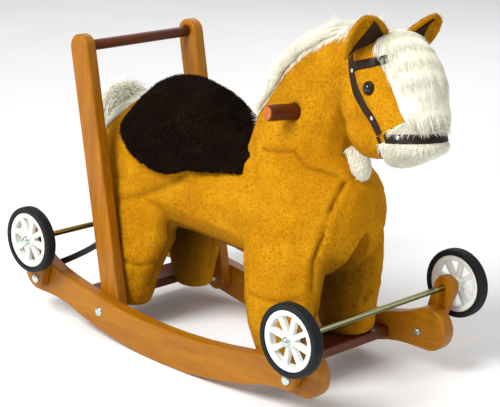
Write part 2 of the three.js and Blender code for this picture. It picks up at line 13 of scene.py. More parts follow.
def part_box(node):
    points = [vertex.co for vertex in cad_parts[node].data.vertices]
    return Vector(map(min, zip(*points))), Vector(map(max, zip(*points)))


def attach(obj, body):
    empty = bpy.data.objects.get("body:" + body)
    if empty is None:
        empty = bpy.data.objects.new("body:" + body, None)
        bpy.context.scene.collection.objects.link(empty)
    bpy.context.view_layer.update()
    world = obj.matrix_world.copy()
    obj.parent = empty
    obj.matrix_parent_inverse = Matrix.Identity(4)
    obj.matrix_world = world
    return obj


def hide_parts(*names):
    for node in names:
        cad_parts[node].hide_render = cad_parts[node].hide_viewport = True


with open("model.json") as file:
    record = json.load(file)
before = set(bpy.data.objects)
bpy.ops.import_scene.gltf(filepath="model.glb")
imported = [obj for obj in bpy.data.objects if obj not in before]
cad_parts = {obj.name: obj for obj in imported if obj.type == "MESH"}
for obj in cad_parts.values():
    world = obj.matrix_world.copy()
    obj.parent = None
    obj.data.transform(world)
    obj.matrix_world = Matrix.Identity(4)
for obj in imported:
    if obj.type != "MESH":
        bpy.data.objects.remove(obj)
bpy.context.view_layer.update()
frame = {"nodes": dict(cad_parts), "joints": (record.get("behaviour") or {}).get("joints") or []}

MM = 0.001
# corners of a CAD mesh closer than this are one corner
WELD = 0.02 * MM
SIDES = {"right": -1, "left": 1}
ENDS = ("front", "rear")
joints = {j["name"]: j for j in frame["joints"]}
# drawing coordinates have their zero midway between the two carriage pivots
pivots_x = [joints[e + "_wheels_flip"]["pos_m"][0] for e in ENDS]
SHIFT = Vector((sum(pivots_x) / 2, 0, 0))
HEAD_TURN = math.radians(-12)
HEAD_TILT = math.radians(-3)
NECK_ROOT = Vector((0.192, 0, 0.360))
HANDLE_CENTRE = Vector((0.200, 0, 0.459))
HEAD_MATRIX = (
    Matrix.Translation(NECK_ROOT + SHIFT)
    @ Matrix.Rotation(HEAD_TURN, 4, "Z")
    @ Matrix.Rotation(HEAD_TILT, 4, "X")
    @ Matrix.Translation(-NECK_ROOT)
)
HEAD_ROTATION = HEAD_MATRIX.to_3x3()


def at(x, y, z):
    """A point drawn in millimetres, in the part's frame."""
    return Vector((x, y, z)) * MM + SHIFT


def on_head(x, y, z):
    """A point drawn in millimetres on the head as if it faced straight ahead, in the part's frame."""
    return HEAD_MATRIX @ (Vector((x, y, z)) * MM)


# ---------------------------------------------------------------- materials


class Paint:
    """A Principled material and the few node helpers that the materials below share."""

    def __init__(self, name, **sockets):
        self.material = bpy.data.materials.new(name)
        self.material.use_nodes = True
        self.tree = self.material.node_tree
        self.shader = self.tree.nodes["Principled BSDF"]
        for key, value in sockets.items():
            self.shader.inputs[key.replace("_", " ")].default_value = value
        self.coords = self.node("ShaderNodeTexCoord").outputs["Object"]

    def node(self, kind, inputs=None, **settings):
        made = self.tree.nodes.new(kind)
        for key, value in settings.items():
            setattr(made, key, value)
        for key, value in (inputs or {}).items():
            if isinstance(value, bpy.types.NodeSocket):
                self.tree.links.new(value, made.inputs[key])
            else:
                made.inputs[key].default_value = value
        return made

    def stretch(self, scale=(1, 1, 1), turn=(0, 0, 0)):
        mapping = self.node("ShaderNodeMapping", {"Vector": self.coords, "Scale": scale, "Rotation": turn})
        return mapping.outputs["Vector"]

    def noise(self, scale, detail=4, rough=0.55, vector=None, distortion=0):
        inputs = {
            "Vector": vector or self.coords,
            "Scale": scale,
            "Detail": detail,
            "Roughness": rough,
            "Distortion": distortion,
        }
        return self.node("ShaderNodeTexNoise", inputs).outputs["Fac"]

    def cells(self, scale, vector=None):
        inputs = {"Vector": vector or self.coords, "Scale": scale}
        return self.node("ShaderNodeTexVoronoi", inputs).outputs["Distance"]

    def ramp(self, fac, low, high, colours=None):
        """A factor stretched from low..high to 0..1, or to colours spread evenly between them."""
        made = self.node("ShaderNodeValToRGB", {"Fac": fac})
        elements = made.color_ramp.elements
        colours = colours or [(0, 0, 0), (1, 1, 1)]
        while len(elements) < len(colours):
            elements.new(0.5)
        for i, colour in enumerate(colours):
            elements[i].position = low + (high - low) * i / (len(colours) - 1)
            elements[i].color = (*colour, 1)
        return made.outputs["Color"]

    def mix(self, fac, a, b, blend="MIX"):
        made = self.node("ShaderNodeMix", data_type="RGBA", blend_type=blend)
        for index, value in ((0, fac), (6, a), (7, b)):
            if isinstance(value, bpy.types.NodeSocket):
                self.tree.links.new(value, made.inputs[index])
            elif index:
                made.inputs[index].default_value = (*value, 1)
            else:
                made.inputs[index].default_value = value
        return made.outputs[2]

    def maths(self, operation, a, b):
        return self.node("ShaderNodeMath", {0: a, 1: b, 2: 0.5}, operation=operation).outputs[0]

    def attribute(self, name):
        return self.node("ShaderNodeAttribute", attribute_name=name).outputs["Fac"]

    def between_legs(self, colour):
        """A colour made darker low down near the middle plane, where little light gets in."""
        xyz = self.node("ShaderNodeSeparateXYZ", {0: self.coords}).outputs
        aside = self.ramp(self.maths("ABSOLUTE", xyz["Y"], 0), 0.022, 0.085)
        above = self.ramp(xyz["Z"], 0.17, 0.25)
        lit = self.ramp(self.maths("MAXIMUM", aside, above), 0, 1, [(0.16, 0.15, 0.12), (1, 1, 1)])
        return self.mix(1.0, colour, lit, "MULTIPLY")

    def set(self, socket, value):
        self.tree.links.new(value, self.shader.inputs[socket])

    def bump(self, painted_reflection, strength, distance, below=None):
        inputs = {"Height": painted_reflection, "Strength": strength, "Distance": distance}
        if below is not None:
            inputs["Normal"] = below
        normal = self.node("ShaderNodeBump", inputs).outputs["Normal"]
        self.set("Normal", normal)
        return normal


def greys(*values):
    return [(v,) * 3 for v in values]


def soft_sheen(weight, tint):
    return {"Sheen_Weight": weight, "Sheen_Tint": (*tint, 1), "Specular_IOR_Level": 0.05}


def plush_paint(name, dark, mid, light, sheen, tint, legs=False):
    """Short cloth pile: patches where the nap lies differently, clumps, and a soft sheen."""
    paint = Paint(name, Roughness=0.9, Sheen_Roughness=0.45, **soft_sheen(sheen, tint))
    patches = paint.noise(14, 5, 0.6, distortion=0.6)
    clumps = paint.noise(260, 4, 0.7, paint.stretch((1, 1, 0.5)))
    hairs = paint.noise(900, 2, 0.6, paint.stretch((1, 1, 0.35)))
    colour = paint.ramp(paint.mix(0.3, patches, clumps), 0.34, 0.66, [dark, mid, light])
    speckle = paint.ramp(hairs, 0.3, 0.7, greys(0.82, 1.06))
    colour = paint.mix(1.0, colour, speckle, "MULTIPLY")
    # painted shade: the colour darkens along the seam grooves
    colour = paint.mix(paint.attribute("painted_seam_shade"), colour, tuple(0.3 * c for c in dark))
    paint.set("Base Color", paint.between_legs(colour) if legs else colour)
    below = paint.bump(clumps, 0.2, 0.002)
    paint.bump(hairs, 0.4, 0.001, below)
    return paint.material


def strand_paint(name, root, tip, sheen, tint, patch=(0.76, 0.74, 0.66), shade=0.9, legs=False):
    """Single fibres: darker at the root as painted shade deep in the pile, each clump a little different."""
    paint = Paint(name, Roughness=0.7, Sheen_Roughness=0.4, **soft_sheen(sheen, tint))
    along = paint.attribute("along")
    # painted shade: each fibre darkens towards its root
    colour = paint.mix(paint.ramp(along, 0.0, 0.7), root, tip)
    shades = [(shade, shade, 0.96 * shade), (1.03, 1.03, 1.03)]
    each = paint.ramp(paint.attribute("tint"), 0.0, 1.0, shades)
    wide = paint.noise(17, 4, 0.6, distortion=0.5)
    patches = paint.ramp(wide, 0.35, 0.65, [patch, (1.06, 1.08, 1.1)])
    colour = paint.mix(1.0, paint.mix(1.0, colour, each, "MULTIPLY"), patches, "MULTIPLY")
    paint.set("Base Color", paint.between_legs(colour) if legs else colour)
    return paint.material


def wood_paint(name, dark, light, stretch, coat=0.07):
    """Stained wood under lacquer; stretch runs the grain along the board."""
    paint = Paint(name, Roughness=0.38, Coat_Weight=coat, Coat_Roughness=0.16, Specular_IOR_Level=0.2)
    vector = paint.stretch(stretch)
    figure = paint.noise(9, 6, 0.6, vector, 1.2)
    pores = paint.noise(70, 3, 0.7, vector)
    colour = paint.ramp(paint.mix(0.35, figure, pores), 0.36, 0.64, [dark, light])
    paint.set("Base Color", colour)
    paint.set("Roughness", paint.ramp(pores, 0.3, 0.7, greys(0.3, 0.46)))
    paint.bump(pores, 0.12, 0.0006)
    return paint.material


def metal_paint(name, colour, roughness, scale):
    paint = Paint(name, Metallic=1.0, Roughness=roughness)
    smudge = paint.noise(scale, 3, 0.6)
    low = tuple(0.86 * c for c in colour)
    paint.set("Base Color", paint.ramp(smudge, 0.35, 0.65, [low, colour]))
    paint.set("Roughness", paint.ramp(smudge, 0.3, 0.7, greys(roughness * 0.7, roughness * 1.5)))
    return paint.material


def rod_paint():
    """Yellow passivated steel with a painted reflection: bright along the top and dull underneath, by which
    way each face points.
    """
    paint = Paint("yellow_zinc", Metallic=1.0, Roughness=0.22)
    normal = paint.node("ShaderNodeNewGeometry").outputs["Normal"]
    facing = paint.node("ShaderNodeSeparateXYZ", {0: normal}).outputs["Z"]
    # painted reflection and painted shade: the colour follows how far each face points up
    painted_reflection_below = [(0.03, 0.05, 0.02), (0.05, 0.07, 0.02), (0.12, 0.13, 0.04)]
    painted_reflection_top = [(0.85, 0.84, 0.50), (0.20, 0.20, 0.07)]
    painted_reflection = paint.ramp(paint.maths("MULTIPLY_ADD", facing, 0.5), 0.15, 0.95, painted_reflection_below + painted_reflection_top)
    smudge = paint.ramp(paint.noise(9, 3, 0.6), 0.35, 0.65, greys(0.85, 1))
    paint.set("Base Color", paint.mix(1.0, painted_reflection, smudge, "MULTIPLY"))
    return paint.material


def plastic_paint():
    paint = Paint("moulded_white_plastic", Roughness=0.33)
    mottle = paint.noise(40, 4, 0.6)
    paint.set("Base Color", paint.ramp(mottle, 0.3, 0.7, [(0.72, 0.74, 0.71), (0.79, 0.80, 0.77)]))
    paint.set("Roughness", paint.ramp(mottle, 0.3, 0.7, greys(0.27, 0.4)))
    paint.bump(paint.noise(900, 2, 0.5), 0.06, 0.0003)
    return paint.material


def rubber_paint():
    paint = Paint("black_rubber", Roughness=0.62, Specular_IOR_Level=0.25)
    dust = paint.noise(55, 5, 0.65)
    paint.set("Base Color", paint.ramp(dust, 0.3, 0.75, [(0.003, 0.005, 0.005), (0.010, 0.013, 0.013)]))
    paint.set("Roughness", paint.ramp(dust, 0.3, 0.7, greys(0.5, 0.75)))
    paint.bump(paint.noise(500, 2, 0.6), 0.15, 0.0004)
    return paint.material


def leather_paint():
    paint = Paint("bridle_leather", Roughness=0.5, Specular_IOR_Level=0.16)
    grain = paint.cells(700)
    wear = paint.noise(60, 4, 0.6)
    paint.set("Base Color", paint.ramp(wear, 0.3, 0.7, [(0.010, 0.004, 0.002), (0.026, 0.010, 0.005)]))
    paint.set("Roughness", paint.ramp(wear, 0.3, 0.7, greys(0.4, 0.6)))
    paint.bump(grain, 0.3, 0.0004)
    return paint.material


def eye_paint(name, colours, roughness, coat):
    paint = Paint(
        name, Roughness=roughness, Coat_Weight=coat, Coat_Roughness=0.03, Specular_IOR_Level=coat
    )
    paint.set("Base Color", paint.ramp(paint.noise(300, 3, 0.6), 0.3, 0.7, colours))
    return paint.material


def steel_paint():
    paint = Paint("black_powder_coat", Roughness=0.45)
    speck = paint.noise(600, 2, 0.6)
    paint.set("Base Color", paint.ramp(speck, 0.3, 0.7, greys(0.008, 0.02)))
    paint.bump(speck, 0.2, 0.0003)
    return paint.material


GOLD = ((0.42, 0.165, 0.002), (0.52, 0.225, 0.003), (0.62, 0.290, 0.008))
HONEY = ((0.25, 0.080, 0.001), (0.40, 0.155, 0.003))
CHERRY = ((0.070, 0.013, 0.003), (0.120, 0.026, 0.005))
M = {
    "gold": plush_paint("golden_plush", *GOLD, 0.0, (1.0, 0.8, 0.4), legs=True),
    "gold_hair": strand_paint(
        "golden_pile", (0.44, 0.170, 0.002), (0.56, 0.240, 0.003), 0.0, (1, 0.8, 0.4), legs=True
    ),
    "dark": plush_paint(
        "dark_plush", (0.004, 0.002, 0.001), (0.008, 0.004, 0.002), (0.016, 0.008, 0.004),
        0.0, (0.5, 0.35, 0.25)
    ),
    "dark_hair": strand_paint(
        "dark_pile", (0.003, 0.0015, 0.001), (0.015, 0.0065, 0.003), 0.0, (0.6, 0.3, 0.2)
    ),
    "cream": plush_paint(
        "cream_base", (0.78, 0.75, 0.59), (0.83, 0.80, 0.66), (0.88, 0.86, 0.73), 0.1, (1, 1, 0.95)
    ),
    "cream_hair": strand_paint(
        "cream_pile", (0.85, 0.82, 0.68), (0.93, 0.91, 0.80), 0.1, (1, 1, 0.95),
        (0.95, 0.94, 0.90), 0.88
    ),
    "lining": plush_paint(
        "ear_lining", (0.012, 0.006, 0.004), (0.028, 0.014, 0.009), (0.05, 0.028, 0.018),
        0.15, (0.6, 0.4, 0.3)
    ),
    "honey_x": wood_paint("honey_wood_long", *HONEY, (0.25, 3, 2.2)),
    "honey_z": wood_paint("honey_wood_upright", *HONEY, (2.2, 3, 0.25)),
    "cherry": wood_paint("cherry_wood", *CHERRY, (2.4, 0.25, 2.4)),
    "end_grain": wood_paint("cherry_end_grain", (0.34, 0.080, 0.010), (0.50, 0.150, 0.020), (6, 6, 6)),
    "inner": wood_paint("inner_softwood", (0.42, 0.28, 0.13), (0.62, 0.45, 0.26), (0.3, 3, 3), 0.0),
    "plastic": plastic_paint(),
    "rubber": rubber_paint(),
    # the chrome's teal tint is a painted reflection of teal surroundings
    "chrome": metal_paint("chrome", (0.62, 0.74, 0.72), 0.12, 90),
    "zinc": rod_paint(),
    "steel": steel_paint(),
    "leather": leather_paint(),
    "pupil": eye_paint("black_eye", [(0.002, 0.002, 0.002), (0.004, 0.003, 0.002)], 0.05, 0.35),
    "iris": eye_paint("brown_ring", [(0.012, 0.006, 0.003), (0.030, 0.014, 0.006)], 0.4, 0.05),
}

# ---------------------------------------------------------------- mesh helpers


def link(name, mesh):
    obj = bpy.data.objects.new(name, mesh)
    bpy.context.scene.collection.objects.link(obj)
    return obj


def mesh_object(name, vertices, faces):
    mesh = bpy.data.meshes.new(name)
    mesh.from_pydata([tuple(v) for v in vertices], [], faces)
    mesh.update()
    return link(name, mesh)


def from_bmesh(name, bm):
    mesh = bpy.data.meshes.new(name)
    bmesh.ops.recalc_face_normals(bm, faces=bm.faces)
    bm.to_mesh(mesh)
    bm.free()
    return link(name, mesh)


def shell(name, vertices, faces, weld=0.0):
    """An object from lists of corners and faces."""
    bm = bmesh.new()
    made = [bm.verts.new(v) for v in vertices]
    for face in faces:
        bm.faces.new([made[i] for i in face])
    if weld:
        bmesh.ops.remove_doubles(bm, verts=bm.verts, dist=weld)
    return from_bmesh(name, bm)


def baked(obj):
    """Applies every modifier of obj to its mesh."""
    graph = bpy.context.evaluated_depsgraph_get()
    graph.update()
    mesh = bpy.data.meshes.new_from_object(obj.evaluated_get(graph))
    obj.modifiers.clear()
    obj.data = mesh
    return obj


def smooth(obj, angle=40):
    """Smooth shading, sharp where faces meet at more than angle degrees."""
    obj.data.polygons.foreach_set("use_smooth", [True] * len(obj.data.polygons))
    obj.data.set_sharp_from_angle(angle=math.radians(angle))
    return obj


def place(obj, body, material, replaces=()):
    """Gives a piece its finish and its body."""
    obj.data.materials.clear()
    obj.data.materials.append(M[material])
    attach(obj, body)
    if replaces:
        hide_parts(*replaces)
    return obj


def joined(name, objects):
    """One object from several, all at the origin."""
    bm = bmesh.new()
    for obj in objects:
        bm.from_mesh(obj.data)
        bpy.data.objects.remove(obj)
    return from_bmesh(name, bm)


def node_copy(node, name=None):
    """A welded copy of a CAD node's mesh."""
    bm = bmesh.new()
    bm.from_mesh(frame["nodes"][node].data)
    bmesh.ops.remove_doubles(bm, verts=bm.verts, dist=WELD)
    return from_bmesh(name or node + "_copy", bm)


def spline(points, per_span=8):
    """Points along a smooth line through the given ones, any number of coordinates each."""
    p = [np.array(q, float) for q in points]
    p = [2 * p[0] - p[1], *p, 2 * p[-1] - p[-2]]
    line = []
    for a, b, c, d in zip(p, p[1:], p[2:], p[3:]):
        for t in np.arange(per_span) / per_span:
            square = (2 * a - 5 * b + 4 * c - d) * t**2
            cube = (3 * b - a - 3 * c + d) * t**3
            line.append(0.5 * (2 * b + (c - a) * t + square + cube))
    return [*line, p[-2]]


def lathe(name, profile, centre, sides=48):
    """A profile of (radius, y) in metres turned about the Y axis through centre, closed at its ends."""
    vertices = []
    rows = []
    for r, y in profile:
        if r < 1e-7:
            rows.append([len(vertices)])
            vertices.append(centre + Vector((0, y, 0)))
        else:
            rows.append(list(range(len(vertices), len(vertices) + sides)))
            for i in range(sides):
                a = 2 * math.pi * i / sides
                vertices.append(centre + Vector((r * math.cos(a), y, r * math.sin(a))))
    faces = []
    for low, high in zip(rows, rows[1:]):
        for i in range(sides):
            j = (i + 1) % sides
            corner = [low[i % len(low)], low[j % len(low)], high[j % len(high)], high[i % len(high)]]
            faces.append(list(dict.fromkeys(corner)))
    ring = len(profile) > 2 and profile[0] == profile[-1]
    return shell(name, vertices, faces, 1e-6 if ring else 0.0)


def rounded(corners, radius, steps=4):
    """A profile of (r, y) points with each inner corner turned into an arc."""
    out = [corners[0]]
    for a, b, c in zip(corners, corners[1:], corners[2:]):
        a, b, c = Vector(a), Vector(b), Vector(c)
        cut = min(radius, (a - b).length * 0.45, (c - b).length * 0.45)
        start = b + (a - b).normalized() * cut
        end = b + (c - b).normalized() * cut
        for i in range(steps + 1):
            t = i / steps
            out.append(tuple((1 - t) ** 2 * start + 2 * t * (1 - t) * b + t**2 * end))
    return [*out, corners[-1]]


def sweep(name, stations, section, per_span=8):
    """A closed bar: section(i) gives (across, up) offsets in metres at station i of the path.
    A station is (point, half_width, half_depth); the width lies towards Y."""
    rows = spline([(*p, w, d) for p, w, d in stations], per_span)
    centres = np.array([r[:3] for r in rows])
    tangents = np.gradient(centres, axis=0)
    tangents /= np.linalg.norm(tangents, axis=1)[:, None]
    vertices = []
    for row, tangent in zip(rows, tangents):
        t = Vector(tangent)
        across = (Vector((0, 1, 0)) - t * t.y).normalized()
        deep = across.cross(t)
        for a, b in section:
            vertices.append(Vector(row[:3]) + across * (a * row[3]) + deep * (b * row[4]))
    n = len(section)
    faces = [list(range(n)), list(range(len(vertices) - n, len(vertices)))[::-1]]
    for i in range(len(rows) - 1):
        for j in range(n):
            k = (j + 1) % n
            faces.append([i * n + j, i * n + k, (i + 1) * n + k, (i + 1) * n + j])
    return shell(name, vertices, faces)


# ---------------------------------------------------------------- woodwork


def in_boxes(point, boxes):
    return any(all(lo[i] < point[i] < hi[i] for i in range(3)) for lo, hi in boxes)


def refill_sides(bm):
    """Each flat side that faces along Y rebuilt as one fill, round every hole in it."""
    sides = {}
    for face in bm.faces:
        if abs(face.normal.y) > 0.9999:
            level = round(face.calc_center_median().y / (0.2 * MM))
            sides.setdefault((level, face.normal.y > 0), []).append(face)
    for (_, left), faces in sides.items():
        inside = set(faces)
        rim = {e for f in faces for e in f.edges if sum(g in inside for g in e.link_faces) == 1}
        if len(rim) > 8:
            bmesh.ops.delete(bm, geom=faces, context="FACES_KEEP_BOUNDARY")
            normal = (0, 1 if left else -1, 0)
            bmesh.ops.triangle_fill(bm, edges=list(rim), use_beauty=True, normal=normal)


def eased_board(node, near=(), width=3.5 * MM, segments=4):
    """A wooden CAD node with its outer arrises rounded. Edges inside the boxes of near stay sharp."""
    pad = Vector((1, 1, 1)) * 1.5 * MM
    boxes = []
    for other in near:
        lo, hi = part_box(other)
        boxes.append((lo - pad, hi + pad))
    bm = bmesh.new()
    bm.from_mesh(frame["nodes"][node].data)
    bmesh.ops.remove_doubles(bm, verts=bm.verts, dist=WELD)
    bmesh.ops.dissolve_limit(bm, angle_limit=math.radians(0.5), verts=bm.verts, edges=bm.edges)
    edges = []
    for edge in bm.edges:
        middle = (edge.verts[0].co + edge.verts[1].co) / 2
        if len(edge.link_faces) == 2 and edge.calc_face_angle(0) > math.radians(60):
            if not in_boxes(middle, boxes):
                edges.append(edge)
    bmesh.ops.bevel(
        bm, geom=edges, offset=width, offset_type="OFFSET", segments=segments, profile=0.5,
        affect="EDGES",
    )
    refill_sides(bm)
    bmesh.ops.triangulate(bm, faces=[f for f in bm.faces if len(f.verts) > 8])
    obj = smooth(from_bmesh(node + "_wood", bm), 32)
    weighted = obj.modifiers.new("weighted", "WEIGHTED_NORMAL")
    weighted.keep_sharp = True
    return baked(obj)


def make_woodwork():
    rails = ("front_rail", "rear_rail")
    for name in SIDES:
        bolts = [f"pivot_bolt_{e}_{name}" for e in ENDS] + ["post_bolt_" + name]
        rocker = eased_board("rocker_" + name, [*rails, *bolts], 4.5 * MM)
        place(rocker, "chassis", "honey_x", ["rocker_" + name])
        post = eased_board("push_post_" + name, ["push_bar", "post_bolt_" + name], 4 * MM)
        place(post, "chassis", "honey_z", ["push_post_" + name])
        for end in ENDS:
            arm = f"arm_{end}_{name}"
            near = [f"pivot_bolt_{end}_{name}", end + "_axle"]
            place(eased_board(arm, near, 3 * MM), end + "_carriage", "honey_z", [arm])
    for node in rails:
        rail = eased_board(node, ("rocker_right", "rocker_left"), 2 * MM)
        place(rail, "chassis", "cherry", [node])
    lo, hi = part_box("push_bar")
    radius = (hi.z - lo.z) / 2
    half = (hi.y - lo.y) / 2
    profile = rounded([(0, -half), (radius, -half), (radius, half), (0, half)], 1.5 * MM)
    bar = smooth(lathe("push_bar_wood", profile, (lo + hi) / 2))
    place(bar, "chassis", "cherry", ["push_bar"])
    make_handle()


def make_handle():
    """The grab handle: a turned bar through the neck with paler, rounded ends."""
    radius = 13.5 * MM
    half = 109 * MM
    corners = [(0, -half), (radius * 0.93, -half), (radius, -half + 10 * MM), (radius * 0.94, 0)]
    corners += [(r, -y) for r, y in corners[-2::-1]]
    handle = lathe("neck_handle_wood", rounded(corners, 3.5 * MM, 5), HANDLE_CENTRE, 40)
    handle.data.transform(HEAD_MATRIX)
    smooth(handle, 60)
    place(handle, "chassis", "cherry", ["neck_handle"])
    handle.data.materials.append(M["end_grain"])
    axis = HEAD_ROTATION @ Vector((0, 1, 0))
    for face in handle.data.polygons:
        if abs(face.normal.dot(axis)) > 0.85:
            face.material_index = 1


# ---------------------------------------------------------------- metal


def round_part(node):
    """Which side a turned node is on, its axis, its radius and its inner and outer ends along Y."""
    lo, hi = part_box(node)
    side = 1 if lo.y + hi.y > 0 else -1
    centre = Vector(((lo.x + hi.x) / 2, 0, (lo.z + hi.z) / 2))
    inner, outer = sorted((abs(lo.y), abs(hi.y)))
    return side, centre, (hi.z - lo.z) / 2, inner, outer


def quarter(radius, base, rise, steps, top):
    """The profile of a dome: a quarter turn from the rim at base up to the axis at top."""
    angles = np.linspace(0, math.pi / 2, steps)
    points = [(radius * math.cos(a), base + rise * math.sin(a)) for a in angles]
    return [*points[:-1], (0, top)]


def make_bolt(node, body):
    """A carriage bolt: a low dome outside, a hexagonal nut and the bolt's end inside."""
    side, centre, radius, inner, outer = round_part(node)
    seat = outer - 4.2 * MM
    shank = 4 * MM
    profile = [(0, inner), (3.4 * MM, inner), (shank, inner + 0.6 * MM), (shank, seat), (radius, seat)]
    profile += quarter(radius, seat + 0.8 * MM, 3.4 * MM, 9, outer)
    bolt = lathe(node + "_steel", [(r, side * y) for r, y in profile], centre, 40)
    hexagon = [(0, 1), (6.0, 1), (6.9, 1.8), (6.9, 5), (0, 5)]
    nut = lathe(node + "_nut", [(r * MM, side * (inner + y * MM)) for r, y in hexagon], centre, 6)
    whole = smooth(joined(node + "_metal", [bolt, nut]), 35)
    place(whole, body, "chrome", [node])


def make_caps_and_axles():
    for end in ENDS:
        lo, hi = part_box(end + "_axle")
        half = (hi.y - lo.y) / 2
        radius = (hi.z - lo.z) / 2
        corners = [(0, -half), (radius, -half), (radius, half), (0, half)]
        rod = smooth(lathe(end + "_axle_rod", rounded(corners, 0.8 * MM), (lo + hi) / 2, 32))
        place(rod, end + "_carriage", "zinc", [end + "_axle"])
        for name, side in SIDES.items():
            node = f"axle_cap_{end}_{name}"
            _, centre, radius, inner, outer = round_part(node)
            bore = 5.3 * MM
            base = inner + 3 * MM
            skirt = [(0, inner + 5 * MM), (bore, inner + 5 * MM), (bore, inner), (radius, inner)]
            skirt += [(radius, inner + 1.4 * MM), (radius * 0.9, inner + 2.2 * MM)]
            skirt += quarter(radius * 0.9, base, outer - base, 10, outer)
            cap = lathe(node + "_dome", [(r, side * y) for r, y in skirt], centre, 40)
            place(smooth(cap, 35), end + "_carriage", "chrome", [node])


def squared(value):
    return math.copysign(abs(value) ** 0.35, value)


BAR_SECTION = [
    (squared(math.cos(a)), squared(math.sin(a))) for a in np.linspace(0, 2 * math.pi, 20, endpoint=False)
]


def make_braces():
    """A flat steel bar from each rocker's rear end to the post, with a bolt at each end."""
    for name, side in SIDES.items():
        rocker = abs(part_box("rocker_" + name)[0 if side > 0 else 1].y) / MM - 2.3
        post = min(abs(c.y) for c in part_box("push_post_" + name)) / MM - 2.3
        route = [
            (-347, rocker, 80, 8), (-341, rocker, 83, 9), (-326, rocker, 90, 8),
            (-306, rocker - 5, 98, 6), (-258, rocker - 15, 125.5, 5.5), (-222, post + 3, 149, 6),
            (-205, post, 160, 9), (-188, post, 171, 8),
        ]
        stations = [(at(x, side * y, z), 1.8 * MM, d * MM) for x, y, z, d in route]
        brace = sweep("brace_" + name, stations, BAR_SECTION, 5)
        heads = []
        for x, y, z in ((-338, rocker - 2, 85), (-196, post - 2, 166)):
            centre = at(x, 0, z)
            inward = [(0, y * MM + 1.5 * MM), (6 * MM, y * MM + 1.5 * MM), (5.6 * MM, y * MM - 1 * MM),
                      (3.5 * MM, y * MM - 2.6 * MM), (0, y * MM - 3.2 * MM)]
            heads.append(lathe("brace_bolt", [(r, side * v) for r, v in inward], centre, 24))
        whole = smooth(joined("post_brace_bar_" + name, [brace, *heads]), 40)
        place(whole, "chassis", "steel", ["post_brace_" + name])


# ---------------------------------------------------------------- wheels


def wheel_mesh():
    """One moulded wheel about the origin: a channel rim with lips, eight tapered spokes and a stepped hub."""
    rim = [(41, -8), (44, -8.6), (49.4, -8.6), (49.6, -6.4), (45, -5.8), (44, 0), (45, 5.8),
           (49.6, 6.4), (49.4, 8.6), (44, 8.6), (41, 8), (39.6, 6), (40.6, 0), (39.6, -6), (41, -8)]
    shells = [lathe("rim", [(r * MM, y * MM) for r, y in rim], Vector(), 72)]
    hub = [(5.4, -9.6), (10.5, -9.6), (12.5, -7.5), (12.5, 7.5), (10.5, 9.6), (5.4, 9.6), (5.4, -9.6)]
    shells.append(lathe("hub", [(r * MM, y * MM) for r, y in hub], Vector(), 40))
    for i in range(8):
        bm = bmesh.new()
        bmesh.ops.create_cube(bm, size=1)
        for v in bm.verts:
            outward = v.co.x + 0.5
            wide, tall = 11 - 2 * outward, 7.4 + 2.2 * outward
            v.co = Vector((8 + 34 * outward, v.co.y * wide, v.co.z * tall)) * MM
        turn = Matrix.Rotation(i * math.pi / 4 + 0.2, 3, "Y")
        bmesh.ops.rotate(bm, cent=(0, 0, 0), matrix=turn, verts=bm.verts)
        shells.append(from_bmesh("spoke", bm))
    whole = joined("wheel", shells)
    remesh = whole.modifiers.new("weld", "REMESH")
    remesh.mode = "VOXEL"
    remesh.voxel_size = 1.1 * MM
    ease = whole.modifiers.new("ease", "SMOOTH")
    ease.iterations = 3
    ease.factor = 0.5
    baked(whole)
    mesh = whole.data
    bpy.data.objects.remove(whole)
    return mesh


def make_wheels():
    moulded = wheel_mesh()
    tread = [(43.2, -5.0), (50.4, -5.3), (50.4, -9.8), (52.5, -10.5), (57.5, -10.3), (59.0, -8.6),
             (59.8, -6.2), (59.8, -5.0), (59.1, -4.7), (59.1, -3.9), (60, -3.6), (60, -0.5),
             (59.3, -0.3)]
    tread += [(r, -y) for r, y in reversed(tread)]
    tread.append(tread[0])
    for end in ENDS:
        for name in SIDES:
            tag = f"{end}_{name}"
            body = f"{end}_wheel_{name}"
            lo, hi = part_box("wheel_" + tag)
            centre = (lo + hi) / 2
            mesh = moulded.copy()
            mesh.transform(Matrix.Translation(centre))
            wheel = smooth(link("wheel_moulding_" + tag, mesh), 50)
            place(wheel, body, "plastic", ["wheel_" + tag])
            ring = lathe("tyre_ring_" + tag, [(r * MM, y * MM) for r, y in tread], centre, 96)
            place(smooth(ring, 32), body, "rubber", ["tyre_" + tag])


make_woodwork()
for side_name in SIDES:
    make_bolt("post_bolt_" + side_name, "chassis")
    for end_name in ENDS:
        make_bolt(f"pivot_bolt_{end_name}_{side_name}", "chassis")
make_caps_and_axles()
make_braces()
make_wheels()

# ---------------------------------------------------------------- plush body


def merged_copy(name, nodes, extra=()):
    bm = bmesh.new()
    for node in nodes:
        bm.from_mesh(frame["nodes"][node].data)
    for obj in extra:
        bm.from_mesh(obj.data)
        bpy.data.objects.remove(obj)
    bmesh.ops.remove_doubles(bm, verts=bm.verts, dist=WELD)
    return from_bmesh(name, bm)


def rounded_form(obj, voxel, iterations, swell=0.0):
    """One even skin over everything in obj, eased, then grown by swell along its normals."""
    remesh = obj.modifiers.new("skin", "REMESH")
    remesh.mode = "VOXEL"
    remesh.voxel_size = voxel * MM
    ease = obj.modifiers.new("ease", "SMOOTH")
    ease.factor = 0.5
    ease.iterations = iterations
    baked(obj)
    if swell:
        xyz, normals = arrays(obj.data)
        put_positions(obj.data, xyz + normals * swell * MM)
    return smooth(obj, 180)


def arrays(mesh):
    xyz = np.zeros(len(mesh.vertices) * 3)
    mesh.vertices.foreach_get("co", xyz)
    normals = np.zeros(len(mesh.vertices) * 3)
    mesh.vertex_normals.foreach_get("vector", normals)
    return xyz.reshape(-1, 3), normals.reshape(-1, 3)


def put_positions(mesh, xyz):
    mesh.vertices.foreach_set("co", xyz.ravel())
    mesh.update()


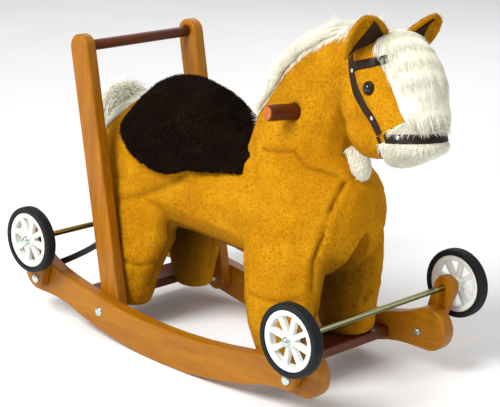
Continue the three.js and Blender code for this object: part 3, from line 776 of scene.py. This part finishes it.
def box_filler(node, grow):
    lo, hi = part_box(node)
    low = 0 if "post" in node else grow
    bm = bmesh.new()
    bmesh.ops.create_cube(bm, size=1)
    for v in bm.verts:
        for i in range(3):
            pad = grow if i < 2 or v.co[i] > 0 else low
            v.co[i] = hi[i] + pad * MM if v.co[i] > 0 else lo[i] - pad * MM
    return from_bmesh("filler", bm)


def grown_copy(node, grow):
    obj = node_copy(node)
    xyz, normals = arrays(obj.data)
    put_positions(obj.data, xyz + normals * grow * MM)
    return obj


def seam_distance(xyz, seam):
    """Distance of each point from a polyline."""
    nearest = np.full(len(xyz), 1.0)
    points = [np.array(p) for p in seam]
    for a, b in zip(points, points[1:]):
        along = b - a
        t = np.clip((xyz - a) @ along / (along @ along), 0, 1)
        nearest = np.minimum(nearest, np.linalg.norm(xyz - a - t[:, None] * along, axis=1))
    return nearest


def lumps(xyz, size, seed):
    offset = Vector((seed, 2.3 * seed, -1.7 * seed))
    return np.array([noise.noise(Vector(p) / size + offset) for p in xyz])


# sewn lines in drawing millimetres, with the depth and half width of the groove
SEAMS = [
    ([(290, -35, 362), (290, -63, 327), (280, -73, 272), (273, -84, 236), (271, -84, 188),
      (261, -58, 127)], 5.5, 3.4),
    ([(164, -117, 161), (201, -124, 161), (235, -117, 163), (261, -99, 171)], 2.5, 5),
    ([(-156, -109, 131), (-129, -97, 127), (-113, -76, 135)], 2.5, 5),
    ([(133, -65, 389), (171, -71, 394), (203, -65, 400), (222, -61, 381), (253, -55, 379),
      (277, -38, 372)], 3.5, 5),
    ([(-94, -59, 210), (-99, -58, 166), (-112, -69, 128), (-126, -75, 87)], 3.5, 6),
    ([(-186, -103, 238), (-134, -94, 257), (-81, -95, 282), (-34, -92, 310)], 2.5, 9),
]


def all_seams_distance(xyz):
    lines = [[at(x, side * y, z) for x, y, z in line] for line, _, _ in SEAMS for side in (1, -1)]
    return np.min([seam_distance(xyz, line) for line in lines], axis=0)


def hollow_arch(body):
    """Opens the arch between the front legs upwards, under the chest."""
    bm = bmesh.new()
    bmesh.ops.create_icosphere(bm, subdivisions=5, radius=1)
    for v in bm.verts:
        v.co = at(318 + 92 * v.co.x, 36 * v.co.y, 120 + 158 * v.co.z)
    cutter = from_bmesh("arch", bm)
    even = body.modifiers.new("even", "REMESH")
    even.mode = "VOXEL"
    even.voxel_size = 3.2 * MM
    opening = body.modifiers.new("opening", "BOOLEAN")
    opening.operation = "DIFFERENCE"
    opening.object = cutter
    baked(body)
    bpy.data.objects.remove(cutter)


def make_body():
    boards = ("spine_board", "front_bulkhead", "rear_bulkhead")
    posts = [f"{e}_leg_post_{s}" for e in ENDS for s in SIDES]
    fillers = [box_filler(n, 3) for n in (*boards, *posts)]
    fillers.append(grown_copy("neck_board", 3))
    plug = lathe("filler", [(0, -0.046), (0.016, -0.046), (0.016, 0.046), (0, 0.046)], HANDLE_CENTRE, 24)
    plug.data.transform(HEAD_MATRIX)
    fillers.append(plug)
    body = merged_copy("plush_skin", ["plush_body"], fillers)
    hollow_arch(body)
    rounded_form(body, 3.6, 9)
    xyz, normals = arrays(body.data)
    move = 1.6 * lumps(xyz, 0.055, 1) + 0.8 * lumps(xyz, 0.022, 2)
    painted_seam_shade = np.zeros(len(xyz))
    for line, depth, width in SEAMS:
        for side in (1, -1):
            seam = [at(x, side * y, z) for x, y, z in line]
            d = seam_distance(xyz, seam) / MM
            shoulder = 0.25 * depth * np.exp(-(((d - 3 * width) / (1.6 * width)) ** 2))
            move += -depth * np.exp(-((d / width) ** 2)) + shoulder
            painted_seam_shade = np.maximum(painted_seam_shade, np.exp(-((d / (0.6 * width)) ** 2)))
    sole = xyz[:, 2] < 0.066
    move[sole] = np.minimum(move[sole], 0)
    put_positions(body.data, xyz + normals * move[:, None] * MM)
    # painted shade along the seams, stored on the skin for the plush material
    attribute = body.data.attributes.new("painted_seam_shade", "FLOAT", "POINT")
    attribute.data.foreach_set("value", (0.55 * painted_seam_shade).astype(np.float32))
    place(smooth(body, 180), "chassis", "gold", ["plush_body"])
    return body


# ---------------------------------------------------------------- pile


def tree_of(objects):
    """One tree over several meshes that sit at the origin."""
    vertices = []
    faces = []
    for obj in objects:
        mesh = obj.data
        base = len(vertices)
        vertices.extend(v.co.copy() for v in mesh.vertices)
        faces.extend([base + i for i in p.vertices] for p in mesh.polygons)
    return BVHTree.FromPolygons(vertices, faces)


def scatter(obj, count, rng, keep=None):
    """Random places on a mesh: points and normals. keep is a test on the points."""
    mesh = obj.data
    mesh.calc_loop_triangles()
    n = len(mesh.loop_triangles)
    corners = np.zeros(n * 3, np.int32)
    mesh.loop_triangles.foreach_get("vertices", corners)
    corners = corners.reshape(-1, 3)
    xyz, normals = arrays(mesh)
    a, b, c = (xyz[corners[:, i]] for i in range(3))
    area = np.linalg.norm(np.cross(b - a, c - a), axis=1)
    middle = (a + b + c) / 3
    if keep is not None:
        area = area * keep(middle)
    pick = rng.choice(n, count, p=area / area.sum())
    u, v = rng.random(count), rng.random(count)
    over = u + v > 1
    u[over], v[over] = 1 - u[over], 1 - v[over]
    w = 1 - u - v
    points = a[pick] * w[:, None] + b[pick] * u[:, None] + c[pick] * v[:, None]
    na, nb, nc = (normals[corners[pick, i]] for i in range(3))
    direction = na * w[:, None] + nb * u[:, None] + nc * v[:, None]
    return points, unit(direction)


def unit(v):
    return v / np.maximum(np.linalg.norm(v, axis=-1, keepdims=True), 1e-9)


def far_from(points, tree, distance):
    """True for the points further than distance from everything in the tree."""
    out = np.ones(len(points), bool)
    for i, p in enumerate(points):
        out[i] = tree.find_nearest(Vector(p), distance)[0] is None
    return out


def strands(name, roots, normals, flow, length, width, lift, rng, segments=1, droop=0.0, wave=0.0):
    """Closed tapered fibres that lean along flow, lift degrees off the skin, and droop towards it."""
    n = len(roots)
    side = unit(np.cross(normals, flow))
    tangent = np.cross(side, normals)
    lift = np.radians(lift)
    direction = unit(tangent * np.cos(lift)[:, None] + normals * np.sin(lift)[:, None])
    rings = []
    position = roots - normals * 0.6 * MM
    step = length / segments
    phase = rng.random(n) * 2 * math.pi
    for k in range(segments + 1):
        taper = 1 - (k / segments) ** 1.5 if segments > 1 else 1 - k
        across = side * (width * taper)[:, None]
        deep = unit(np.cross(direction, side)) * (width * taper * 0.5)[:, None]
        if k == segments:
            rings.append([position])
        else:
            rings.append([position - across / 2, position + across / 2, position + deep])
        swing = side * (wave * np.sin(phase + 4.0 * (k + 1) / segments))[:, None]
        bent = direction - normals * (droop / segments) + swing
        direction = unit(bent)
        position = position + direction * step[:, None]
    count = 3 * segments + 1
    vertices = np.stack([p for ring in rings for p in ring], axis=1)
    along = np.array([k / segments for k in range(segments) for _ in range(3)] + [1.0])
    faces = [(2, 1, 0)]
    for k in range(segments - 1):
        for j in range(3):
            a, b = 3 * k + j, 3 * k + (j + 1) % 3
            faces += [(a, b, b + 3), (a, b + 3, a + 3)]
    last = 3 * (segments - 1)
    faces += [(last + j, last + (j + 1) % 3, last + 3) for j in range(3)]
    faces = np.array(faces)
    loops = (faces[None] + (np.arange(n) * count)[:, None, None]).reshape(-1)
    mesh = bpy.data.meshes.new(name)
    mesh.vertices.add(n * count)
    mesh.vertices.foreach_set("co", vertices.reshape(-1))
    mesh.loops.add(len(loops))
    mesh.loops.foreach_set("vertex_index", loops.astype(np.int32))
    mesh.polygons.add(len(loops) // 3)
    mesh.polygons.foreach_set("loop_start", np.arange(0, len(loops), 3, dtype=np.int32))
    mesh.update(calc_edges=True)
    for key, values in (("along", np.tile(along, n)), ("tint", np.repeat(rng.random(n), count))):
        attribute = mesh.attributes.new(key, "FLOAT", "POINT")
        attribute.data.foreach_set("value", values.astype(np.float32))
    mesh.polygons.foreach_set("use_smooth", [True] * len(mesh.polygons))
    return link(name, mesh)


def combed(points, base, amount, size, seed):
    """A combing direction at each point: base with a slowly wandering swirl."""
    swirl = np.stack([lumps(points, size, seed + k) for k in range(3)], axis=1)
    return unit(base + amount * swirl)


def pile(name, obj, count, rng, base, length, width, lift, material, slot, cover=None, keep=None, gap=1.2,
         segments=1, droop=0.0, wave=0.0, amount=1.6, size=0.03, stray=0.3):
    roots, normals = scatter(obj, count, rng, keep)
    if "painted_seam_shade" in obj.data.attributes:
        free = all_seams_distance(roots) > 2.4 * MM
        roots, normals = roots[free], normals[free]
    if cover is not None:
        free = far_from(roots, cover, gap * MM)
        roots, normals = roots[free], normals[free]
    n = len(roots)
    flow = combed(roots, base(roots) if callable(base) else np.array(base, float), amount, size, 5)
    flow = unit(flow + stray * rng.standard_normal((n, 3)))
    hairs = strands(
        name, roots, normals, flow,
        MM * length * (0.65 + 0.7 * rng.random(n)), MM * width * (0.7 + 0.6 * rng.random(n)),
        lift * (0.6 + 0.8 * rng.random(n)), rng, segments, droop, wave,
    )
    return place(hairs, "chassis", material)


# ---------------------------------------------------------------- saddle, ears, eyes and bridle


def make_saddle():
    saddle = node_copy("saddle", "saddle_pad")
    rounded_form(saddle, 3.2, 12, 1.2)
    place(saddle, "chassis", "dark", ["saddle"])
    return saddle


def make_soft(node, name, voxel, iterations, swell, material):
    obj = node_copy(node, name)
    rounded_form(obj, voxel, iterations, swell)
    place(obj, "chassis", material, [node])
    return obj


def ear_frame(side):
    """The base, the side towards the cheek, the way up and the way it opens, of an ear on the head."""
    base = Vector((351, side * 40, 588))
    across = Vector((-24, side * 72, -26)).normalized()
    up = Vector((42, -side * 11, 56)).normalized()
    facing = across.cross(up)
    if facing.x < 0:
        facing = -facing
    up = (up - across * up.dot(across)).normalized()
    return base, across, up, facing


EAR_HALF = 39
EAR_TALL = 74


def ear_point(side, s, t, depth):
    """A point of the ear's cupped sheet: s from -1 to 1 across, t from 0 to 1 up, depth in millimetres."""
    base, across, up, facing = ear_frame(side)
    half = EAR_HALF * (1 - 0.14 * t) * max(0.0, 1 - t**2.6) ** 0.5
    cup = 13 * s * s * (1 - 0.6 * t) - 6
    return base + across * (half * s) + up * (EAR_TALL * t - 4) + facing * (cup + depth)


def ear_shell(name, side):
    """A stuffed, round-topped ear: thick at the back and rim, hollowed in front."""
    rows, columns = 18, 18
    bm = bmesh.new()
    for face, thick in ((1, 3.5), (-1, 9.0)):
        made = []
        for i in range(rows + 1):
            t = i / rows
            row = []
            for j in range(columns + 1):
                s = math.sin(math.pi / 2 * (2 * j / columns - 1))
                edge = max(0.0, 1 - s * s) ** 0.5 * max(0.0, 1 - t**4) ** 0.5
                rim = 4.0 * math.exp(-(((abs(s) - 0.8) / 0.2) ** 2)) if face > 0 else 0
                point = ear_point(side, s, t, face * thick * edge + rim * edge)
                row.append(bm.verts.new(on_head(*point)))
            made.append(row)
        for i in range(rows):
            for j in range(columns):
                bm.faces.new([made[i][j], made[i][j + 1], made[i + 1][j + 1], made[i + 1][j]])
    bmesh.ops.remove_doubles(bm, verts=bm.verts, dist=0.05 * MM)
    bmesh.ops.holes_fill(bm, edges=[e for e in bm.edges if len(e.link_faces) == 1], sides=0)
    return from_bmesh(name, bm)


def ear_lining(name, side):
    """The dark three-cornered cloth inside an ear, its long corner to the tip."""
    corners = [(0.80, 0.13), (-0.62, 0.90), (-0.80, 0.06)]
    n = 14
    bm = bmesh.new()
    sheets = []
    for depth in (8.6, 3.0):
        made = {}
        for i in range(n + 1):
            for j in range(n + 1 - i):
                k = n - i - j
                s, t = (sum(w * c[axis] for w, c in zip((i, j, k), corners)) / n for axis in (0, 1))
                sag = 0.10 * math.sin(math.pi * i / n) if j == 0 else 0
                made[i, j] = bm.verts.new(on_head(*ear_point(side, s, t + sag, depth)))
        for i in range(n):
            for j in range(n - i):
                bm.faces.new([made[i, j], made[i + 1, j], made[i, j + 1]])
                if i + j < n - 1:
                    bm.faces.new([made[i + 1, j], made[i + 1, j + 1], made[i, j + 1]])
        sheets.append(made)
    border = [(i, 0) for i in range(n)] + [(n - j, j) for j in range(n)] + [(0, n - j) for j in range(n)]
    for a, b in zip(border, border[1:] + border[:1]):
        bm.faces.new([sheets[0][a], sheets[0][b], sheets[1][b], sheets[1][a]])
    return from_bmesh(name, bm)


def dome(name, centre, normal, radius, painted_reflection, rings=6, sides=28):
    """A shallow dome standing on centre."""
    profile = [(0, -painted_reflection * 0.5), (radius, -painted_reflection * 0.5)]
    profile += [(radius * math.cos(a), painted_reflection * math.sin(a)) for a in np.linspace(0, math.pi / 2, rings)]
    profile[-1] = (0, painted_reflection)
    obj = lathe(name, profile, Vector(), sides)
    turn = Vector((0, 1, 0)).rotation_difference(Vector(normal)).to_matrix().to_4x4()
    obj.data.transform(Matrix.Translation(centre) @ turn)
    return smooth(obj, 60)


def make_eyes(skin):
    tree = tree_of([skin])
    for name, side in SIDES.items():
        seed = on_head(394, side * 86, 537)
        centre, normal, _, _ = tree.find_nearest(seed)
        normal = (normal + HEAD_ROTATION @ Vector((0.25, side, 0.05))).normalized()
        ring = dome("eye_ring_" + name, centre + normal * 0.6 * MM, normal, 10.8 * MM, 4.0 * MM)
        place(ring, "chassis", "iris")
        ball = dome("eye_ball_" + name, centre + normal * 2.2 * MM, normal, 7.4 * MM, 5.6 * MM, 9)
        place(ball, "chassis", "pupil", ["eye_" + name])


BROW_CENTRE = Vector((352, 0, 562))
STRAP_SECTION = [(-1, -0.6), (-1, 0.35), (-0.93, 0.8), (-0.82, 1), (0, 1)]
STRAP_SECTION += [(-a, b) for a, b in STRAP_SECTION[-2::-1]]


def strap(name, points, normals, width, thick):
    """A leather strip along surface points, its outer arrises eased."""
    rows = spline([(*p, *n) for p, n in zip(points, normals)], 3)
    centre = np.array([r[:3] for r in rows])
    outward = unit(np.array([r[3:] for r in rows]))
    for _ in range(4):
        centre[1:-1] = 0.5 * centre[1:-1] + 0.25 * (centre[:-2] + centre[2:])
        outward[1:-1] = unit(0.5 * outward[1:-1] + 0.25 * (outward[:-2] + outward[2:]))
    tangent = unit(np.gradient(centre, axis=0))
    across = unit(np.cross(tangent, outward))
    outward = np.cross(across, tangent)
    bm = bmesh.new()
    rings = []
    for c, u, v in zip(centre, across, outward):
        ring = [bm.verts.new(c + u * a * width * MM / 2 + v * b * thick * MM) for a, b in STRAP_SECTION]
        rings.append(ring)
    n = len(STRAP_SECTION)
    for low, high in zip(rings, rings[1:]):
        for j in range(n):
            bm.faces.new([low[j], low[(j + 1) % n], high[(j + 1) % n], high[j]])
    bm.faces.new(rings[0])
    bm.faces.new(rings[-1][::-1])
    return smooth(from_bmesh(name, bm), 30)


def wrap(tree, centre, ahead, start, end, steps=40):
    """Points and normals where a plane through the head meets its skin, from the right side to the left.
    The angles are from straight ahead, in degrees."""
    centre = on_head(*centre)
    ahead = (HEAD_ROTATION @ Vector(ahead)).normalized()
    left = HEAD_ROTATION @ Vector((0, 1, 0))
    points, normals = [], []
    for i in range(steps + 1):
        a = math.radians(start + (end - start) * i / steps)
        ray = ahead * math.cos(a) + left * math.sin(a)
        hit, normal, _, _ = tree.ray_cast(centre + ray * 0.3, -ray)
        if hit:
            points.append(hit)
            normals.append(ray if normal.dot(ray) < 0 else normal)
    return points, normals


def lay(tree, side, path):
    """Points and normals on one side of the head under a path drawn in its X-Z plane."""
    points, normals = [], []
    inward = HEAD_ROTATION @ Vector((0, -side, 0))
    for x, z in spline(path, 6):
        hit, normal, _, _ = tree.ray_cast(on_head(x, side * 200, z), inward)
        if hit:
            points.append(hit)
            normals.append(unit(np.array(normal) - 0.8 * np.array(inward)))
    return points, normals


def tuck(point, open_half=45 * MM, depth=14 * MM):
    """Sinks a strap point under the forelock where it nears the middle of the face."""
    local = HEAD_MATRIX.inverted() @ point
    t = min(1.0, max(0.0, (open_half - abs(local.y)) / (7 * MM)))
    inward = (BROW_CENTRE * MM - local).normalized()
    return HEAD_MATRIX @ (local + inward * depth * t * t * (3 - 2 * t))


def make_bridle(tree):
    """Leather straps on the head with their rivets."""
    made = []
    thick = 3.4
    points, normals = wrap(tree, BROW_CENTRE, (96, 0, 33), -105, 105)
    brow = strap("bridle_brow_strap", [tuck(p) for p in points], normals, 14.5, thick)
    points, normals = wrap(tree, (440, 0, 467), (108, 0, 20), -108, 108)
    nose = strap("bridle_nose_strap", points, normals, 15.5, thick)
    made.append(place(brow, "chassis", "leather", ["bridle_brow_band"]))
    made.append(place(nose, "chassis", "leather", ["bridle_nose_band"]))
    for name, side in SIDES.items():
        path = [(312, 600), (318, 584), (336, 549), (365, 513), (398, 486), (410, 468)]
        cheek = strap("bridle_cheek_" + name, *lay(tree, side, path), 16, thick)
        place(cheek, "chassis", "leather", ["bridle_cheek_strap_" + name])
        path = [(402, 462), (406, 452), (411, 443), (417, 432)]
        jaw = strap("bridle_jaw_strap_" + name, *lay(tree, side, path), 7, 2.6)
        place(jaw, "chassis", "leather")
        made += [cheek, jaw]
        for x, z in ((339, 552), (397, 490), (455, 473)):
            hit, normal, _, _ = tree_of(made).ray_cast(
                on_head(x, side * 200, z), HEAD_ROTATION @ Vector((0, -side, 0))
            )
            rivet = dome(f"bridle_rivet_{name}_{x}", hit, normal, 3.7 * MM, 1.9 * MM)
            place(rivet, "chassis", "chrome")
    return made


def finish_inner_wood():
    for name, node in frame["nodes"].items():
        if not node.hide_render:
            node.data.materials.clear()
            node.data.materials.append(M["inner"])


def head_direction(x, y, z):
    return np.array((HEAD_ROTATION @ Vector((x, y, z))).normalized())


def mane_flow(points):
    """The mane parts along the crest and falls to both sides, a little backwards."""
    flow = []
    for p in points:
        side = 1 if (HEAD_MATRIX.inverted() @ Vector(p)).y > 0 else -1
        flow.append(head_direction(-0.25, side, -0.75))
    return np.array(flow)


def make_soft_parts():
    rng = np.random.default_rng(11)
    skin = make_body()
    saddle = make_saddle()
    mane = make_soft("mane", "mane_base", 3, 8, 1.0, "cream")
    blaze = make_soft("blaze", "blaze_base", 2.5, 20, 0.5, "cream")
    muzzle = make_soft("muzzle", "muzzle_pad", 3, 8, 0.6, "cream")
    tail = make_soft("tail", "tail_base", 3, 8, 4.0, "cream")
    straps = make_bridle(tree_of([skin, blaze, muzzle]))
    tuft = make_soft("chest_tuft", "tuft_base", 3, 6, -2.0, "cream")
    ears = []
    for name, side in SIDES.items():
        ear = ear_shell("ear_shell_" + name, side)
        rounded_form(ear, 2.2, 8, 1.0)
        place(ear, "chassis", "gold", ["ear_" + name])
        ears.append(ear)
        lining = smooth(ear_lining("ear_lining_cloth_" + name, side), 50)
        place(lining, "chassis", "lining", ["ear_lining_" + name])
    make_eyes(skin)
    cover = tree_of([saddle, mane, blaze, muzzle, *straps])
    gold = {"material": "gold_hair", "slot": "golden_plush", "cover": cover, "length": 4.2,
            "width": 0.8, "lift": 15, "amount": 0.5, "size": 0.05, "stray": 0.3}
    back = (-0.75, 0, -0.65)
    zones = {
        "head": lambda p: (p[:, 0] > 0.075) & (p[:, 2] > 0.36),
        "front": lambda p: (p[:, 0] > 0.075) & (p[:, 2] <= 0.36) & (p[:, 2] > 0.0665),
        "middle": lambda p: (p[:, 0] <= 0.075) & (p[:, 2] > 0.235),
        "hind": lambda p: (p[:, 0] <= 0.075) & (p[:, 2] <= 0.235) & (p[:, 2] > 0.049),
    }
    crest = tree_of([mane])
    dock = tree_of([tail])

    def by_crest(points):
        return ~far_from(points, crest, 9 * MM)

    def on_dock(points):
        return ~far_from(points, dock, 44 * MM) & (points[:, 2] > 0.30)

    for zone, keep in zones.items():
        pile("gold_pile_" + zone, skin, 49000, rng, back,
             keep=lambda p, keep=keep: keep(p) & ~by_crest(p) & ~on_dock(p), **gold)
    for i, name in enumerate(SIDES):
        pile("gold_pile_ear_" + name, ears[i], 5000, rng, head_direction(-0.2, 0, 1), **{**gold, "length": 5})
    pile("dark_pile", saddle, 42000, rng, (-0.4, 0, -0.9), 5.5, 1.4, 38, "dark_hair", "dark_plush")
    cream = {"material": "cream_hair", "slot": "cream_pile", "gap": 0.5}
    pile("muzzle_pile", muzzle, 11000, rng, head_direction(-0.35, 0, -1), 12, 1.2, 26,
         cover=tree_of(straps), segments=3, droop=0.7, wave=0.08, amount=0.5, stray=0.12, **cream)
    pile("mane_fringe", skin, 11500, rng, mane_flow, 16, 1.4, 14, keep=by_crest,
         cover=tree_of([saddle, *ears, *straps]), segments=3, droop=0.7, wave=0.04, amount=0.3,
         stray=0.12, **cream)
    for i in (0, 1):
        pile(f"mane_pile_{i}", mane, 7000, rng, mane_flow, 27, 1.4, 11, segments=5, droop=0.9,
             wave=0.05, amount=0.3, stray=0.09, **cream)
    for i in (0, 1):
        pile(f"blaze_pile_{i}", blaze, 6500, rng, head_direction(0.5, 0, -0.85), 27, 1.0, 8,
             segments=5, droop=0.45, wave=0.02, amount=0.08, stray=0.05, **cream)
    pile("tail_fringe", skin, 11000, rng, (-0.7, 0, -1), 26, 1.8, 24, keep=on_dock,
         cover=tree_of([saddle]), segments=3, droop=0.5, wave=0.1, amount=0.5, **cream)
    pile("tail_pile", tail, 3600, rng, (-0.35, 0, -1), 34, 2.4, 30, segments=5, droop=0.8,
         wave=0.25, amount=0.6, **cream)
    pile("tuft_pile", tuft, 2200, rng, (0.2, 0, -1), 10, 1.3, 28, segments=3, droop=0.8, wave=0.1,
         amount=0.5, **cream)


make_soft_parts()
finish_inner_wood()

# ---------------------------------------------------------------- stage


def make_stage():
    view = bpy.context.scene.view_settings
    view.view_transform = "Standard"
    view.look = "None"
    floor = mesh_object("floor", [(-6, -6, 0), (6, -6, 0), (6, 6, 0), (-6, 6, 0)], [(0, 1, 2, 3)])
    paint = Paint("pale_floor", Roughness=0.85)
    paint.set("Base Color", paint.ramp(paint.noise(3, 3), 0.3, 0.7, greys(0.90, 0.93)))
    floor.data.materials.append(paint.material)
    world = bpy.data.worlds.new("studio")
    world.use_nodes = True
    world.node_tree.nodes["Background"].inputs["Color"].default_value = (1, 1, 1, 1)
    world.node_tree.nodes["Background"].inputs["Strength"].default_value = 0.62
    bpy.context.scene.world = world
    target = Vector((-0.016, 0, 0.30))
    lamps = [
        ("key", (-0.1, -2.6, 2.6), 1.5, 135),
        ("fill", (2.6, 0.6, 1.6), 2.0, 5),
        ("rim", (-1.5, 2.4, 2.2), 1.8, 18),
    ]
    for name, place_at, size, power in lamps:
        lamp = bpy.data.lights.new(name, "AREA")
        lamp.size = size
        lamp.energy = power
        obj = bpy.data.objects.new(name, lamp)
        obj.location = place_at
        obj.rotation_euler = (target - obj.location).to_track_quat("-Z", "Y").to_euler()
        bpy.context.scene.collection.objects.link(obj)


def make_camera():
    camera = bpy.data.cameras.new("camera")
    camera.lens = 116.56
    camera.sensor_width = 36
    obj = bpy.data.objects.new("camera", camera)
    right = Vector((0.70561, 0.70808, 0.02727))
    forward = Vector((-0.67369, 0.68228, -0.28397))
    up = right.cross(forward)
    turn = Matrix((right, up, -forward)).transposed().to_4x4()
    obj.matrix_world = Matrix.Translation(Vector((1.92222, -1.90112, 1.05613)) + SHIFT) @ turn
    bpy.context.scene.collection.objects.link(obj)
    bpy.context.scene.camera = obj


make_stage()
make_camera()
